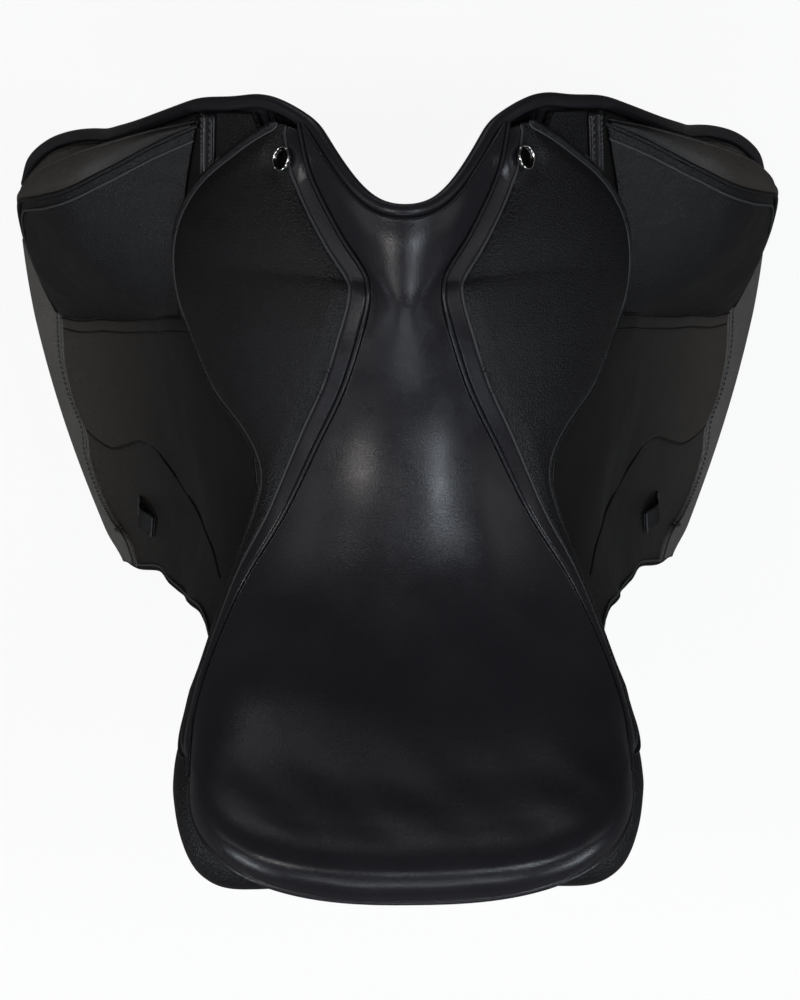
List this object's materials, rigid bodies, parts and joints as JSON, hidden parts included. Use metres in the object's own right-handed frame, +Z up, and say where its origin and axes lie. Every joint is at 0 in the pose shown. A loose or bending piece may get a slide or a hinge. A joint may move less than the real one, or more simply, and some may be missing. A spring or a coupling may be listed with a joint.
{
  "type": "dressage saddle",
  "caption": "Black leather dressage saddle with a deep padded seat, lifting skirts and flaps, outside thigh blocks, wool panels and a wooden tree with stirrup bars.",
  "frame": {"origin": "on the middle plane, under the seat's lowest point, on the level at which the panels bear on the horse", "axes": "+X to the saddle's right, +Y forward to the pommel, +Z up"},
  "size_m": [0.562, 0.5658, 0.6396],
  "materials": {
    "smooth_leather": "smooth black calf leather, softly polished",
    "grained_leather": "black leather with a fine pebble grain",
    "rough_leather": "matte grained strip along the flap's lower edge",
    "tree_wood": "laminated beech",
    "steel": "brushed steel",
    "nickel": "bright nickel plate",
    "foam": "latex foam",
    "webbing": "linen webbing"
  },
  "bodies": {
    "saddle": {"billet_front_left": "smooth_leather", "billet_front_right": "smooth_leather", "billet_rear_left": "smooth_leather", "billet_rear_right": "smooth_leather", "billet_web_left": "webbing", "billet_web_right": "webbing", "cantle_facing": "smooth_leather", "cantle_welt": "smooth_leather", "catch_pin_left": "steel", "catch_pin_right": "steel", "dee_left": "nickel", "dee_right": "nickel", "flap_top_left": "smooth_leather", "flap_top_right": "smooth_leather", "front_roll": "smooth_leather", "gullet_plate": "steel", "head_plate": "steel", "panel_front_left": "grained_leather", "panel_front_right": "grained_leather", "panel_left": "grained_leather", "panel_right": "grained_leather", "pommel_facing": "smooth_leather", "seat_cover": "smooth_leather", "seat_foam": "foam", "seat_webbing": "webbing", "seat_welt_left": "smooth_leather", "seat_welt_right": "smooth_leather", "skirt_base_left": "smooth_leather", "skirt_base_right": "smooth_leather", "spring_bar_left": "steel", "spring_bar_right": "steel", "stirrup_bar_left": "steel", "stirrup_bar_right": "steel", "stud_left": "nickel", "stud_right": "nickel", "sweat_flap_left": "grained_leather", "sweat_flap_right": "grained_leather", "tree_frame": "tree_wood", "tree_point_left": "tree_wood", "tree_point_right": "tree_wood"},
    "flap_left": {"flap_left": "smooth_leather", "flap_trim_left": "rough_leather", "flap_tab_left": "smooth_leather", "thigh_block_left": "grained_leather"},
    "skirt_left": {"skirt_left": "grained_leather"},
    "catch_left": {"stirrup_catch_left": "steel"},
    "flap_right": {"flap_right": "smooth_leather", "flap_trim_right": "rough_leather", "flap_tab_right": "smooth_leather", "thigh_block_right": "grained_leather"},
    "skirt_right": {"skirt_right": "grained_leather"},
    "catch_right": {"stirrup_catch_right": "steel"}
  },
  "joints": [
    {"name": "flap_lift_left", "type": "hinge", "parent": "saddle", "child": "flap_left", "pos_m": [-0.086, 0.1175, 0.123], "axis": [0.0274, 0.9582, 0.2847], "range_deg": [0, 30]},
    {"name": "skirt_lift_left", "type": "hinge", "parent": "flap_left", "child": "skirt_left", "pos_m": [-0.086, 0.1175, 0.123], "axis": [0.0274, 0.9582, 0.2847], "range_deg": [0, 60]},
    {"name": "catch_lift_left", "type": "hinge", "parent": "saddle", "child": "catch_left", "pos_m": [-0.07189, 0.07856, 0.09359], "axis": [-0.9994, -0.035, 0], "range_deg": [0, 35]},
    {"name": "flap_lift_right", "type": "hinge", "parent": "saddle", "child": "flap_right", "pos_m": [0.086, 0.1175, 0.123], "axis": [0.0274, -0.9582, -0.2847], "range_deg": [0, 30]},
    {"name": "skirt_lift_right", "type": "hinge", "parent": "flap_right", "child": "skirt_right", "pos_m": [0.086, 0.1175, 0.123], "axis": [0.0274, -0.9582, -0.2847], "range_deg": [0, 60]},
    {"name": "catch_lift_right", "type": "hinge", "parent": "saddle", "child": "catch_right", "pos_m": [0.07189, 0.07856, 0.09359], "axis": [-0.9994, 0.035, 0], "range_deg": [0, 35]}
  ]
}
